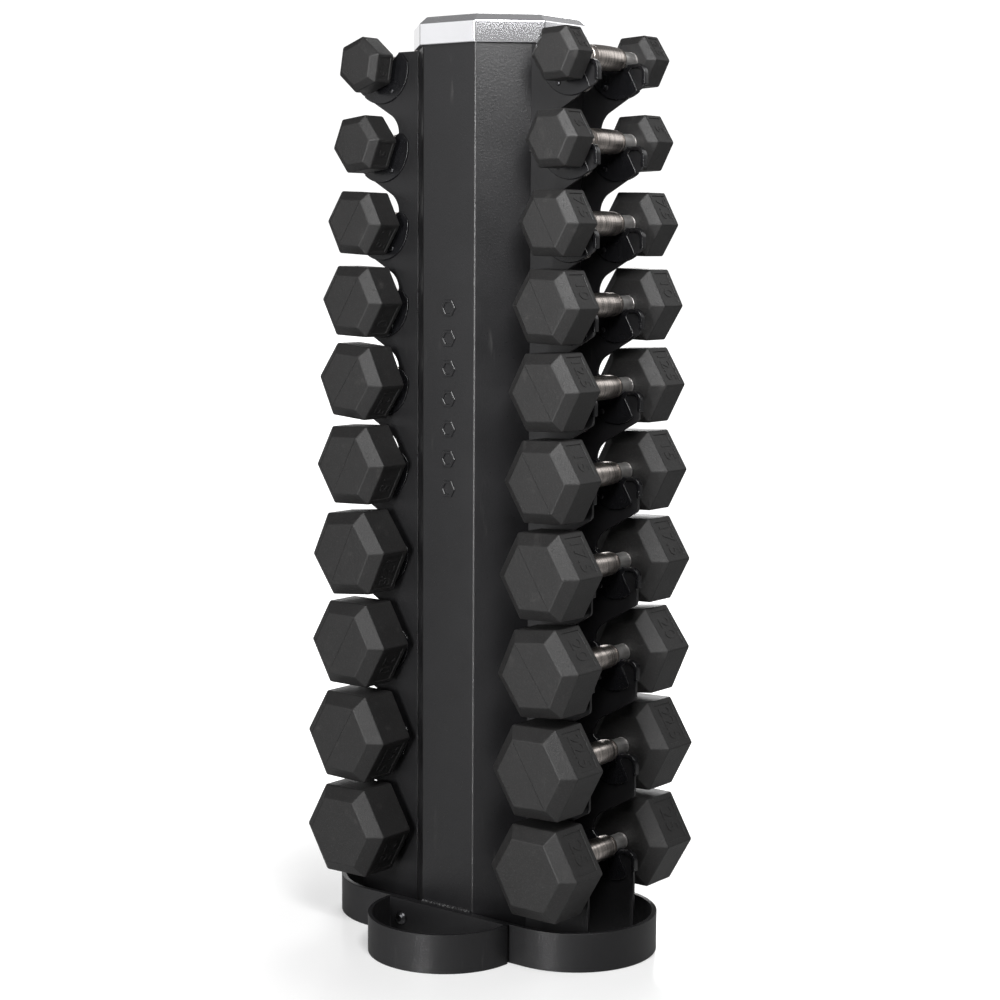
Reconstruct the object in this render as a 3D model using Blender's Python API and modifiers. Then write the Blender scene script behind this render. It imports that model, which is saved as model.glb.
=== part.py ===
"""Dumbbell rack: an eight-sided sheet-metal post, four hooked saddle plates that carry ten dumbbells a side,
a flat-bar base loop with a hoop bolted on in front and behind, a cap, and the twenty hex dumbbells.

Metres, +Z up, the floor at z = 0. The rack faces -Y, and every handle lies along Y.
"""
from math import acos, atan2, cos, pi, radians, sin, sqrt, tan

import bmesh
import bpy
from mathutils import Matrix, Vector

# gaps between pieces that touch or turn on each other
TOUCH_GAP = 0.0003
BOLT_CLEARANCE = 0.0004

# post: a folded eight-sided tube
POST_ACROSS_FLATS = 0.198
POST_WALL = 0.0025
POST_TONGUE = 0.020          # how far the tube goes on up inside the cap
FOOT_GAP = 0.002             # what hangs clear of the floor inside the base loop

# cap over the top of the post
CAP_WALL = 0.004
CAP_SKIRT = 0.026
CAP_CHAMFER_RISE = 0.0085
CAP_CHAMFER_INSET = 0.0095

# base: flat bar on edge, bent to a long loop round the post
BAR_HEIGHT = 0.049
LOOP_BAR = 0.006
LOOP_LENGTH = 0.465

# hoops: flat bar on edge, bent to a D and bolted to the loop's long sides
HOOP_BAR = 0.005
HOOP_WIDTH = 0.196
HOOP_DEPTH = 0.104
HOOP_CORNER = 0.0065
HOOP_SHIFT = 0.008           # the front hoop sits right of the middle, the rear one left of it
ARC_STEPS = 12

# hoop bolts: button heads inside the hoop, nuts inside the loop
BOLT_SPACING = 0.132
BOLT_RADIUS = 0.005
BOLT_HEAD_RADIUS = 0.0085
BOLT_HEAD_HEIGHT = 0.0055
BOLT_TAIL = 0.002            # thread standing out past the nut
NUT_ACROSS_FLATS = 0.017
NUT_HEIGHT = 0.008
ROUND_STEPS = 16

# dumbbells, from the lightest at the top to the heaviest at the bottom
HEAD_ACROSS_FLATS = (0.061, 0.0675, 0.0785, 0.088, 0.093, 0.0995, 0.106, 0.1075, 0.113, 0.1145)
DUMBBELL_LENGTH = (0.205, 0.218, 0.229, 0.240, 0.247, 0.252, 0.262, 0.265, 0.276, 0.278)
ROLL_LEFT = (20, 7, -3, -2, -5, 2, 5, 0, -1, 1)
ROLL_RIGHT = (3, 2, -1, -2, 2, 2, 2, 6, 2, 0)
HANDLE_SPAN = 0.120          # between the two heads
GRIP_LENGTH = 0.066
GRIP_RADIUS = 0.0155
GRIP_END_RADIUS = 0.0135
GRIP_TAPER = 0.006
NECK_RADIUS = 0.011
HANDLE_ROOT = 0.010          # how deep the handle is set in each head
OUTER_CHAMFER = (0.12, 0.135)   # depth and inset as shares of the head's width across flats
INNER_CHAMFER = (0.11, 0.155)
SET_DOWN_SHIFT = 0.005       # the dumbbells stand this far back of centre

# tiers: the distance of the handles from the middle, and their heights
HANDLE_X = 0.1535
BOTTOM_TIER = 0.1265
SMALLEST_PITCH = 0.099
HEAD_GAP = 0.011

# saddle plates
PLATE = 0.004
PLATE_FACE = 0.0513          # from the middle plane to a plate's outer face
HOOK_REACH = 0.0325          # from the handle's axis to the hook's outer end
HOOK_LIP = -0.005            # the top of the lip, from the handle's axis
LIP_ROUND = 0.011
TIP_ROUND = 0.006
THROAT = 0.032               # from the handle's axis in to the wall behind it
THROAT_ROUND = 0.024
THROAT_FLAT = 0.001          # straight stretch of that wall between its round and the slide to the saddle
UNDERSIDE_SLOPE = radians(29.7)
UNDERSIDE_RISE = 0.048       # above the axis of the handle below
TOP_RISE = 0.0165            # the plate's top, above the top handle's axis
CAP_CLEARANCE = 0.00075      # between the plates' tops and the cap's lower edge
SADDLE_STEPS = 7
ROUND_CORNER_STEPS = 4
HANDLE_STEPS = 12

OCTAGON_CORNER = 1 / cos(pi / 8)   # corner radius of an octagon over its flat radius
TIERS = len(HEAD_ACROSS_FLATS)
POST_APOTHEM = POST_ACROSS_FLATS / 2
LOOP_INSIDE = POST_APOTHEM + TOUCH_GAP
LOOP_OUTSIDE = LOOP_INSIDE + LOOP_BAR
SADDLE_RADIUS = NECK_RADIUS + TOUCH_GAP
ARC_SHARE = 0.98             # of a side, the most that the arcs at its two ends may take up


def tier_heights():
    """Heights of the handles, top tier first: each pitch leaves room for the heads above and below it."""
    heights = [BOTTOM_TIER]
    for lower in range(TIERS - 1, 0, -1):
        heads = (HEAD_ACROSS_FLATS[lower] + HEAD_ACROSS_FLATS[lower - 1]) / 2
        heights.insert(0, heights[0] + max(SMALLEST_PITCH, heads + HEAD_GAP))
    return heights


POST_HEIGHT = tier_heights()[0] + TOP_RISE + CAP_CLEARANCE   # to the cap's lower edge


def collection(name):
    group = bpy.data.collections.new(name)
    bpy.context.scene.collection.children.link(group)
    return group


def material(name, colour, roughness, metallic=0.0):
    made = bpy.data.materials.new(name)
    made.use_nodes = True
    shader = made.node_tree.nodes["Principled BSDF"]
    shader.inputs["Base Color"].default_value = (*colour, 1)
    shader.inputs["Roughness"].default_value = roughness
    shader.inputs["Metallic"].default_value = metallic
    return made


def place(name, mesh, group, finish=None, matrix=Matrix()):
    """Put a mesh in the scene as one object."""
    made = bpy.data.objects.new(name, mesh)
    made.matrix_world = matrix
    group.objects.link(made)
    if finish:
        mesh.materials.append(finish)
    return made


def as_mesh(source, group):
    """Freeze an object's curve or modifiers to a plain mesh object with welded caps."""
    bpy.context.view_layer.update()
    evaluated = source.evaluated_get(bpy.context.evaluated_depsgraph_get())
    mesh = bpy.data.meshes.new_from_object(evaluated)
    edit = bmesh.new()
    edit.from_mesh(mesh)
    bmesh.ops.remove_doubles(edit, verts=edit.verts, dist=0.00001)
    edit.to_mesh(mesh)
    edit.free()
    name = source.name
    matrix = source.matrix_world.copy()
    bpy.data.objects.remove(source)
    return place(name, mesh, group, matrix=matrix)


def turned(name, profile, steps, group, finish=None, closed=False):
    """Turn a profile of (radius, height) points about Z; it runs from the top down its outer side."""
    edit = bmesh.new()
    points = [edit.verts.new((radius, 0, height)) for radius, height in profile]
    for first, second in zip(points, points[1:]):
        edit.edges.new((first, second))
    if closed:
        edit.edges.new((points[-1], points[0]))
    mesh = bpy.data.meshes.new(name)
    edit.to_mesh(mesh)
    edit.free()
    made = place(name, mesh, group, finish)
    screw = made.modifiers.new("Turn", "SCREW")
    screw.steps = steps
    screw.render_steps = steps
    screw.use_merge_vertices = True
    screw.merge_threshold = 0.0001
    return made


def outline(name, loops, height, group):
    """A flat outline of one or more loops of (x, y) points, standing from z = 0 up to its height."""
    curve = bpy.data.curves.new(name, "CURVE")
    curve.dimensions = "2D"
    curve.fill_mode = "BOTH"
    curve.extrude = height / 2
    for loop in loops:
        spline = curve.splines.new("POLY")
        spline.points.add(len(loop) - 1)
        for point, (x, y) in zip(spline.points, loop):
            point.co = (x, y, 0, 1)
        spline.use_cyclic_u = True
    made = place(name, curve, group)
    made.location.z = height / 2
    return made


def arc(centre, radius, start, end, steps):
    """Points on an arc from one angle to another."""
    angles = [start + (end - start) * step / steps for step in range(steps + 1)]
    return [(centre[0] + radius * cos(angle), centre[1] + radius * sin(angle)) for angle in angles]


def half_angle(corners, index):
    """Half the angle between the two sides that meet in a corner."""
    corner, before, after = (Vector(corners[at % len(corners)][:2]) for at in (index, index - 1, index + 1))
    return (before - corner).angle(after - corner) / 2


def fitted_reach(corners, index):
    """How far a corner's arc reaches along its sides; arcs on a side that is too short for both share it."""
    def wanted(at):
        radius = corners[at % len(corners)][2]
        return radius / tan(half_angle(corners, at)) if radius else 0
    reach = wanted(index)
    for other in (index - 1, index + 1):
        side = (Vector(corners[other % len(corners)][:2]) - Vector(corners[index][:2])).length
        both = wanted(index) + wanted(other)
        reach = min(reach, wanted(index) * ARC_SHARE * side / both)
    return reach


def rounded(corners, steps):
    """A closed outline from corners of (x, y, radius), each rounded with an arc that meets both its sides."""
    points = []
    for index, (x, y, radius) in enumerate(corners):
        if radius == 0:
            points.append((x, y))
            continue
        corner = Vector((x, y))
        before = (Vector(corners[index - 1][:2]) - corner).normalized()
        after = (Vector(corners[(index + 1) % len(corners)][:2]) - corner).normalized()
        reach = fitted_reach(corners, index)
        half = half_angle(corners, index)
        radius = reach * tan(half)
        centre = corner + (before + after).normalized() * radius / sin(half)
        first = corner + before * reach - centre
        last = corner + after * reach - centre
        start = atan2(first.y, first.x)
        turn = (atan2(last.y, last.x) - start + pi) % (2 * pi) - pi
        points += arc(centre, radius, start, start + turn, steps)
    return points


def mirrored(points):
    return [(-x, y) for x, y in reversed(points)]


def cut(target, cutter_name, radius, start, end, cutters):
    """Drill a hole along Y through an object."""
    edit = bmesh.new()
    depth = abs(end[1] - start[1])
    bmesh.ops.create_cone(edit, cap_ends=True, segments=ROUND_STEPS, radius1=radius, radius2=radius, depth=depth)
    mesh = bpy.data.meshes.new(cutter_name)
    edit.to_mesh(mesh)
    edit.free()
    middle = (Vector(start) + Vector(end)) / 2
    drill = place(cutter_name, mesh, cutters, matrix=Matrix.Translation(middle) @ Matrix.Rotation(pi / 2, 4, "X"))
    drill.hide_render = True
    drill.display_type = "WIRE"
    hole = target.modifiers.new(cutter_name, "BOOLEAN")
    hole.operation = "DIFFERENCE"
    hole.solver = "EXACT"
    hole.object = drill


def post_clearance(cutters):
    """An eight-sided block a little larger than the post, which the saddle plates are cut back to."""
    radius = (POST_APOTHEM + TOUCH_GAP) * OCTAGON_CORNER
    top = POST_HEIGHT + POST_TONGUE
    block = turned("post_clearance", [(0, top), (radius, top), (radius, 0), (0, 0)], 8, cutters)
    block.rotation_euler.z = pi / 8
    block.hide_render = True
    block.display_type = "WIRE"
    return block


def post_shell(group):
    """The eight-sided tube, open at both ends, with a flat face to the front."""
    outside = POST_APOTHEM * OCTAGON_CORNER
    inside = (POST_APOTHEM - POST_WALL) * OCTAGON_CORNER
    top = POST_HEIGHT + POST_TONGUE
    profile = [(outside, top), (outside, FOOT_GAP), (inside, FOOT_GAP), (inside, top)]
    made = turned("post_shell", profile, 8, group, material("post_black", (0.018, 0.018, 0.02), 0.42, 0.3), True)
    made.rotation_euler.z = pi / 8


def top_cap(group):
    """A cup turned over the post's end, with its skirt proud of the post and its top edge chamfered."""
    inner_apothem = POST_APOTHEM + TOUCH_GAP
    inside = inner_apothem * OCTAGON_CORNER
    outside = (inner_apothem + CAP_WALL) * OCTAGON_CORNER
    flat = (inner_apothem + CAP_WALL - CAP_CHAMFER_INSET) * OCTAGON_CORNER
    shoulder = POST_HEIGHT + CAP_SKIRT
    top = shoulder + CAP_CHAMFER_RISE
    ceiling = POST_HEIGHT + POST_TONGUE + TOUCH_GAP
    profile = [(0, top), (flat, top), (outside, shoulder), (outside, POST_HEIGHT), (inside, POST_HEIGHT),
               (inside, ceiling), (0, ceiling)]
    made = turned("top_cap", profile, 8, group, material("cap_silver", (0.72, 0.72, 0.74), 0.35, 0.2))
    made.rotation_euler.z = pi / 8


def stadium(length, width, steps):
    """A long loop with half-round ends."""
    radius = width / 2
    centre = length / 2 - radius
    right = arc((centre, 0), radius, -pi / 2, pi / 2, steps)
    left = arc((-centre, 0), radius, pi / 2, 3 * pi / 2, steps)
    return right + left


def hoop_outline(width, depth, corner):
    """A D with its flat back on y = 0 and its half-round bow towards -Y."""
    radius = width / 2
    centre = (0, radius - depth)
    bow = [(x, y, 0) for x, y in arc(centre, radius, pi, 2 * pi, ARC_STEPS)]
    return rounded([(radius, 0, corner), (-radius, 0, corner)] + bow, ROUND_CORNER_STEPS)


def bolt_places():
    return [side * BOLT_SPACING / 2 for side in (-1, 1)]


def base_loop(group, cutters):
    """The long loop that stands on the floor, drilled for the hoop bolts."""
    inner_length = LOOP_LENGTH - 2 * LOOP_BAR
    loops = [stadium(LOOP_LENGTH, 2 * LOOP_OUTSIDE, ARC_STEPS), stadium(inner_length, 2 * LOOP_INSIDE, ARC_STEPS)]
    made = as_mesh(outline("base_loop", loops, BAR_HEIGHT, group), group)
    made.data.materials.append(material("base_black", (0.016, 0.016, 0.018), 0.45, 0.3))
    for facing, side in (("front", -1), ("rear", 1)):
        for index, x in enumerate(bolt_places()):
            start = (x, side * (LOOP_INSIDE - LOOP_BAR), BAR_HEIGHT / 2)
            end = (x, side * (LOOP_OUTSIDE + LOOP_BAR), BAR_HEIGHT / 2)
            cut(made, f"loop_hole_{facing}_{index}", BOLT_RADIUS + BOLT_CLEARANCE, start, end, cutters)


def hoop(name, side, group, cutters):
    """One D-shaped hoop; side is -1 in front and 1 behind."""
    back = LOOP_OUTSIDE + TOUCH_GAP
    outer = hoop_outline(HOOP_WIDTH, HOOP_DEPTH, HOOP_CORNER)
    inner = hoop_outline(HOOP_WIDTH - 2 * HOOP_BAR, HOOP_DEPTH - 2 * HOOP_BAR, HOOP_CORNER - HOOP_BAR)
    loops = [outer, [(x, y - HOOP_BAR) for x, y in inner]]
    flat = outline(name, loops, BAR_HEIGHT, group)
    flat.rotation_euler.z = 0 if side < 0 else pi
    flat.location.x = -side * HOOP_SHIFT
    flat.location.y = side * back
    made = as_mesh(flat, group)
    made.data.materials.append(material(name + "_black", (0.016, 0.016, 0.018), 0.45, 0.3))
    for index, x in enumerate(bolt_places()):
        start = (x, side * (back - HOOP_BAR), BAR_HEIGHT / 2)
        end = (x, side * (back + 2 * HOOP_BAR), BAR_HEIGHT / 2)
        cut(made, f"{name}_hole_{index}", BOLT_RADIUS + BOLT_CLEARANCE, start, end, cutters)


def bolt_and_nut(name, x, side, group):
    """A button-head bolt through hoop and loop, and its hexagon nut; turned about Z, then laid along Y."""
    head_face = LOOP_OUTSIDE + TOUCH_GAP + HOOP_BAR + TOUCH_GAP
    nut_face = LOOP_INSIDE - TOUCH_GAP
    tip = nut_face - NUT_HEIGHT - BOLT_TAIL
    dome = BOLT_HEAD_RADIUS * 0.55
    profile = [(0, head_face + BOLT_HEAD_HEIGHT), (dome, head_face + BOLT_HEAD_HEIGHT),
               (BOLT_HEAD_RADIUS, head_face + BOLT_HEAD_HEIGHT * 0.35), (BOLT_HEAD_RADIUS, head_face),
               (BOLT_RADIUS, head_face), (BOLT_RADIUS, tip), (0, tip)]
    steel = material("zinc_" + name, (0.05, 0.05, 0.055), 0.3, 0.9)
    lay = Matrix.Translation((x, 0, BAR_HEIGHT / 2)) @ Matrix.Rotation(-side * pi / 2, 4, "X")
    bolt = turned("bolt_" + name, profile, ROUND_STEPS, group, steel)
    bolt.matrix_world = lay
    bore = BOLT_RADIUS + BOLT_CLEARANCE
    flat = as_mesh(outline("nut_" + name, [arc((0, 0), NUT_ACROSS_FLATS / sqrt(3), 0, 2 * pi, 6)[:-1],
                                           arc((0, 0), bore, 0, 2 * pi, ROUND_STEPS)[:-1]], NUT_HEIGHT, group), group)
    flat.data.materials.append(material("nut_zinc_" + name, (0.05, 0.05, 0.055), 0.3, 0.9))
    flat.matrix_world = lay @ Matrix.Translation((0, 0, nut_face - NUT_HEIGHT / 2))


def underside(offset):
    """Height of a hook's underside above the axis of the handle below, at a distance out from that axis."""
    return UNDERSIDE_RISE + offset * tan(UNDERSIDE_SLOPE)


def slide_top():
    """Height above the handle's axis where the slide into the saddle starts from the wall."""
    return underside(-THROAT) - THROAT_ROUND * tan((pi / 2 - UNDERSIDE_SLOPE) / 2) - THROAT_FLAT


def saddle(height):
    """The bowl of one saddle, from its lip round to where it meets the slide squarely."""
    meets_lip = atan2(HOOK_LIP, sqrt(SADDLE_RADIUS ** 2 - HOOK_LIP ** 2))
    start = Vector((-THROAT, slide_top()))
    meets_slide = atan2(start.y, start.x) + acos(SADDLE_RADIUS / start.length) - 2 * pi
    bowl = arc((HANDLE_X, height), SADDLE_RADIUS, meets_lip, meets_slide, SADDLE_STEPS)
    return [(x, y, 0) for x, y in bowl]


def plate_outline():
    """Corners of a saddle plate on the rack's right, from its foot up its outer side and down at the post."""
    inner_edge = POST_APOTHEM * sqrt(2) - PLATE_FACE - PLATE
    heights = tier_heights()
    end = HANDLE_X + HOOK_REACH
    wall = HANDLE_X - THROAT
    corners = [(inner_edge, FOOT_GAP, 0), (end, FOOT_GAP, 0)]
    for tier in reversed(range(TIERS)):
        height = heights[tier]
        corners.append((end, height + HOOK_LIP, LIP_ROUND))
        corners += saddle(height)
        if tier:
            corners.append((wall, height + slide_top(), 0))
            corners.append((wall, height + underside(-THROAT), THROAT_ROUND))
            corners.append((end, height + underside(HOOK_REACH), TIP_ROUND))
    top = heights[0] + TOP_RISE
    corners += [(wall, top, 0), (inner_edge, top, 0)]
    return rounded(corners, ROUND_CORNER_STEPS)


def saddle_plate(name, across, along, group, finish, post_block):
    """One plate, its inner edge mitred to a slanting face of the post; across is 1 right, along is 1 behind."""
    points = plate_outline()
    flat = outline(name, [points if across > 0 else mirrored(points)], PLATE, group)
    middle = along * (PLATE_FACE - PLATE / 2)
    flat.matrix_world = Matrix.Translation((0, middle, 0)) @ Matrix.Rotation(pi / 2, 4, "X")
    made = as_mesh(flat, group)
    made.data.materials.append(finish)
    mitre = made.modifiers.new("Mitre", "BOOLEAN")
    mitre.operation = "DIFFERENCE"
    mitre.solver = "EXACT"
    mitre.object = post_block


def hex_head(name, tier, side, group):
    """A six-sided head with both ends chamfered, turned in six steps; it lies past the handle along Z."""
    width = HEAD_ACROSS_FLATS[tier]
    corner = 2 / sqrt(3)
    radius = width / 2 * corner
    inner = HANDLE_SPAN / 2
    outer = DUMBBELL_LENGTH[tier] / 2
    inner_flat = (width / 2 - INNER_CHAMFER[1] * width) * corner
    outer_flat = (width / 2 - OUTER_CHAMFER[1] * width) * corner
    profile = [(0, outer), (outer_flat, outer), (radius, outer - OUTER_CHAMFER[0] * width),
               (radius, inner + INNER_CHAMFER[0] * width), (inner_flat, inner), (0, inner)]
    head = turned(name, profile, 6, group)
    if side < 0:
        head.rotation_euler.x = pi
    return as_mesh(head, group)


def handle(name, group, finish):
    """The turned handle, with its grip thicker than the necks that lie in the saddles."""
    root = HANDLE_SPAN / 2 + HANDLE_ROOT
    half = GRIP_LENGTH / 2
    full = half - GRIP_TAPER
    profile = [(0, root), (NECK_RADIUS, root), (NECK_RADIUS, half), (GRIP_END_RADIUS, half), (GRIP_RADIUS, full),
               (GRIP_RADIUS, -full), (GRIP_END_RADIUS, -half), (NECK_RADIUS, -half), (NECK_RADIUS, -root), (0, -root)]
    return turned(name, profile, HANDLE_STEPS, group, finish)


def dumbbell(name, tier, across, roll, group, cutters, finish):
    """One dumbbell: a handle joined to its two heads, rolled as it was set down."""
    made = as_mesh(handle(name, group, finish), group)
    made.data.materials.clear()
    made.data.materials.append(finish)
    lie = Matrix.Translation((across * HANDLE_X, SET_DOWN_SHIFT, tier_heights()[tier]))
    lie = lie @ Matrix.Rotation(-radians(roll), 4, "Y") @ Matrix.Rotation(-pi / 2, 4, "X")
    made.matrix_world = lie
    for end in (-1, 1):
        head = hex_head(f"{name}_head_{'front' if end < 0 else 'rear'}", tier, end, cutters)
        head.matrix_world = lie @ head.matrix_world
        head.hide_render = True
        head.display_type = "WIRE"
        join = made.modifiers.new("Head", "BOOLEAN")
        join.operation = "UNION"
        join.solver = "EXACT"
        join.object = head


def build():
    for old in list(bpy.data.objects):
        bpy.data.objects.remove(old)
    rack = collection("dumbbell_rack")
    cutters = collection("cutters")
    post_block = post_clearance(cutters)
    post_shell(rack)
    top_cap(rack)
    base_loop(rack, cutters)
    for facing, along in (("front", -1), ("rear", 1)):
        hoop(facing + "_hoop", along, rack, cutters)
        for index, x in enumerate(bolt_places()):
            bolt_and_nut(f"{facing}_{'left' if index == 0 else 'right'}", x, along, rack)
    for side, across, rolls in (("left", -1, ROLL_LEFT), ("right", 1, ROLL_RIGHT)):
        for facing, along in (("front", -1), ("rear", 1)):
            black = material(f"plate_black_{side}_{facing}", (0.02, 0.02, 0.022), 0.5, 0.3)
            saddle_plate(f"saddle_plate_{side}_{facing}", across, along, rack, black, post_block)
        for tier in range(TIERS):
            rubber = material(f"rubber_{side}_{tier + 1:02d}", (0.022, 0.022, 0.024), 0.7)
            dumbbell(f"dumbbell_{side}_{tier + 1:02d}", tier, across, rolls[tier], rack, cutters, rubber)


build()
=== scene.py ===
"""Dumbbell rack: an eight-sided post on a looped base, with hooked plates that carry twenty dumbbells."""
from contextlib import contextmanager
from math import acos, atan2, cos, pi, radians, sin, sqrt, tan

import bmesh
import bpy
from mathutils import Matrix, Vector


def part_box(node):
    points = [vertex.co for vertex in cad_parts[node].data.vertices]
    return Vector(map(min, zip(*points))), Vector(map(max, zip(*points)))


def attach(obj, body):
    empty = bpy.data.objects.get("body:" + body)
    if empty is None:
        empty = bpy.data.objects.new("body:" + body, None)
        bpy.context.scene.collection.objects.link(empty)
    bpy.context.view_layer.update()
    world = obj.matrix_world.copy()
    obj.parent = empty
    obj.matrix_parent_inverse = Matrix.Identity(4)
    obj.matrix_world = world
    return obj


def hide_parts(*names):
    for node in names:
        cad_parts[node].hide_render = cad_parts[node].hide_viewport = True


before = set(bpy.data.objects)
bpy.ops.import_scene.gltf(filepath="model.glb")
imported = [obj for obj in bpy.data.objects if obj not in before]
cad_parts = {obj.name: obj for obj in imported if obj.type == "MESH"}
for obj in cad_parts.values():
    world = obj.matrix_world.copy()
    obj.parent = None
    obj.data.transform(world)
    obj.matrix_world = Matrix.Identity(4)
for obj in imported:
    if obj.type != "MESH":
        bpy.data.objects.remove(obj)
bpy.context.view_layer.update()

bl_info = {
    "name": "Dumbbell Rack",
    "version": (1, 0, 0),
    "blender": (4, 5, 0),
    "location": "View3D > Sidebar > Rack",
    "description": "Builds a dumbbell rack with its dumbbells round a packed frame",
    "category": "Add Mesh",
}

SIDES = {"left": -1, "right": 1}
ENDS = {"front": -1, "rear": 1}

# the frame's own sizes, in metres
GAP = 0.0003
MITRE_GAP = 0.0004
POST_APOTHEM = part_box("post_shell")[1].y
POST_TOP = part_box("post_shell")[1].z
CAP_BOTTOM, CAP_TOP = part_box("top_cap")[0].z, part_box("top_cap")[1].z
CAP_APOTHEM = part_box("top_cap")[1].y
BAR_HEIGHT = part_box("base_loop")[1].z
LOOP_LENGTH = 2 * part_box("base_loop")[1].x
LOOP_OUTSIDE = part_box("base_loop")[1].y
LOOP_BAR = 0.006
HOOP_BAR = 0.005
HOOP_CORNER = 0.0065
PLATE = 0.004
PLATE_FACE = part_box("saddle_plate_right_rear")[1].y
PLATE_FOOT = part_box("saddle_plate_right_rear")[0].z
PLATE_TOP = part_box("saddle_plate_right_rear")[1].z
PLATE_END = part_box("saddle_plate_right_rear")[1].x
PLATE_INNER = POST_APOTHEM * sqrt(2) - PLATE_FACE + MITRE_GAP
HANDLE_X = 0.1535
SET_DOWN_SHIFT = 0.005
HEAD_START = 0.060
NECK_RADIUS = 0.011
NECK_START = 0.0345
TIERS = 10
HEAD_WIDTHS = (0.061, 0.0675, 0.0785, 0.088, 0.093, 0.0995, 0.106, 0.1075, 0.113, 0.1145)
ROLLS = {"left": (20, 7, -3, -2, -5, 2, 5, 0, -1, 1), "right": (3, 2, -1, -2, 2, 2, 2, 6, 2, 0)}
WEIGHTS = ("2.5", "5", "7.5", "10", "12.5", "15", "17.5", "20", "22.5", "25")
LINED_TIERS = range(2, 9)
BOTTOM_TIER = 0.1265
SMALLEST_PITCH = 0.099
HEAD_GAP = 0.011

# a hook, from the axis of the handle that lies in it
REACH = PLATE_END - HANDLE_X
THROAT = 0.032
UNDERSIDE_SLOPE = radians(29.7)
UNDERSIDE_RISE = 0.048
SADDLE = NECK_RADIUS + GAP
PLATE_SADDLE = SADDLE + 0.0035


def tier_heights():
    """Heights of the handles, top tier first."""
    heights = [BOTTOM_TIER]
    for lower in range(TIERS - 1, 0, -1):
        heads = (HEAD_WIDTHS[lower] + HEAD_WIDTHS[lower - 1]) / 2
        heights.insert(0, heights[0] + max(SMALLEST_PITCH, heads + HEAD_GAP))
    return heights


HEIGHTS = tier_heights()


# Modelling


def begin():
    """Leave nothing selected."""
    bpy.ops.object.select_all(action="DESELECT")


def just_added(name):
    """Name the object that an operator has just added, with its place in its mesh."""
    piece = bpy.context.object
    bpy.ops.object.transform_apply(location=True, rotation=True, scale=True)
    piece.name = name
    piece.data.name = name
    return piece


@contextmanager
def editing(piece):
    """Edit mode on one piece."""
    begin()
    piece.select_set(True)
    bpy.context.view_layer.objects.active = piece
    bpy.ops.object.mode_set(mode="EDIT")
    yield
    bpy.ops.object.mode_set(mode="OBJECT")


def choose(piece, kind, test):
    """In edit mode, select only the vertices, edges or faces that pass a test."""
    bpy.ops.mesh.select_mode(type=kind)
    bpy.ops.mesh.select_all(action="DESELECT")
    mesh = bmesh.from_edit_mesh(piece.data)
    for part in {"VERT": mesh.verts, "EDGE": mesh.edges, "FACE": mesh.faces}[kind]:
        if test(part):
            part.select_set(True)
    mesh.select_flush_mode()
    bmesh.update_edit_mesh(piece.data)


def outward():
    """In edit mode, turn every face outwards."""
    bpy.ops.mesh.select_all(action="SELECT")
    bpy.ops.mesh.normals_make_consistent(inside=False)


def extrude(step):
    bpy.ops.mesh.extrude_region_move(TRANSFORM_OT_translate={"value": tuple(step)})


def drawn(name, points):
    """A flat face, drawn by extruding one corner from point to point."""
    begin()
    bpy.ops.mesh.primitive_plane_add(size=0.01)
    piece = just_added(name)
    with editing(piece):
        bpy.ops.mesh.select_mode(type="VERT")
        bpy.ops.mesh.select_all(action="SELECT")
        bpy.ops.mesh.merge(type="CENTER")
        bpy.ops.transform.translate(value=points[0])
        for here, there in zip(points, points[1:]):
            extrude(Vector(there) - Vector(here))
        bpy.ops.mesh.select_all(action="SELECT")
        bpy.ops.mesh.edge_face_add()
    return piece


def thickened(piece, step):
    """Pull a flat face out to a solid."""
    with editing(piece):
        bpy.ops.mesh.select_mode(type="FACE")
        bpy.ops.mesh.select_all(action="SELECT")
        extrude(step)
        outward()


def rounded_corners(piece, radius, test, segments=6):
    """Round the corners of a flat outline that pass a test; the radius is the arc's reach along its sides."""
    with editing(piece):
        choose(piece, "VERT", test)
        bpy.ops.mesh.bevel(offset=radius, segments=segments, affect="VERTICES", profile=0.5)


def turned(name, profile, sides):
    """A piece turned about Z from (height, radius) rings; with few sides, a flat one faces -Y."""
    begin()
    height, radius = profile[0]
    bpy.ops.mesh.primitive_circle_add(vertices=sides, radius=radius, fill_type="NGON",
                                      location=(0, 0, height), rotation=(0, 0, pi / sides))
    piece = just_added(name)
    with editing(piece):
        bpy.ops.mesh.select_mode(type="FACE")
        bpy.ops.mesh.select_all(action="SELECT")
        for (low, before), (high, after) in zip(profile, profile[1:]):
            extrude((0, 0, high - low))
            share = after / before
            bpy.ops.transform.resize(value=(share, share, 1), center_override=(0, 0, high))
        outward()
    return piece


def apply(piece, kind, **settings):
    """Add a modifier and apply it at once."""
    begin()
    piece.select_set(True)
    bpy.context.view_layer.objects.active = piece
    modifier = piece.modifiers.new(kind.title(), kind)
    for key, value in settings.items():
        setattr(modifier, key, value)
    bpy.ops.object.modifier_apply(modifier=modifier.name)


def softened(piece, width, segments=2, angle=28):
    """Round every sharp edge a little."""
    apply(piece, "BEVEL", width=width, segments=segments, limit_method="ANGLE", angle_limit=radians(angle))


def carved(piece, tool, operation="DIFFERENCE"):
    """Cut a piece with a tool, and put the tool away."""
    apply(piece, "BOOLEAN", object=tool, operation=operation, solver="EXACT")
    bpy.data.objects.remove(tool)


def copied(piece, name, matrix):
    """A copy with its own mesh, moved to its place."""
    twin = piece.copy()
    twin.data = piece.data.copy()
    twin.name = name
    twin.data.name = name
    bpy.context.scene.collection.objects.link(twin)
    twin.data.transform(matrix)
    if matrix.determinant() < 0:
        with editing(twin):
            outward()
    return twin


def joined(name, pieces):
    """Several meshes as one object."""
    begin()
    for piece in pieces:
        piece.select_set(True)
    bpy.context.view_layer.objects.active = pieces[0]
    bpy.ops.object.join()
    whole = bpy.context.object
    whole.name = name
    whole.data.name = name
    return whole


def discard(*pieces):
    for piece in pieces:
        bpy.data.objects.remove(piece)


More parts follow.
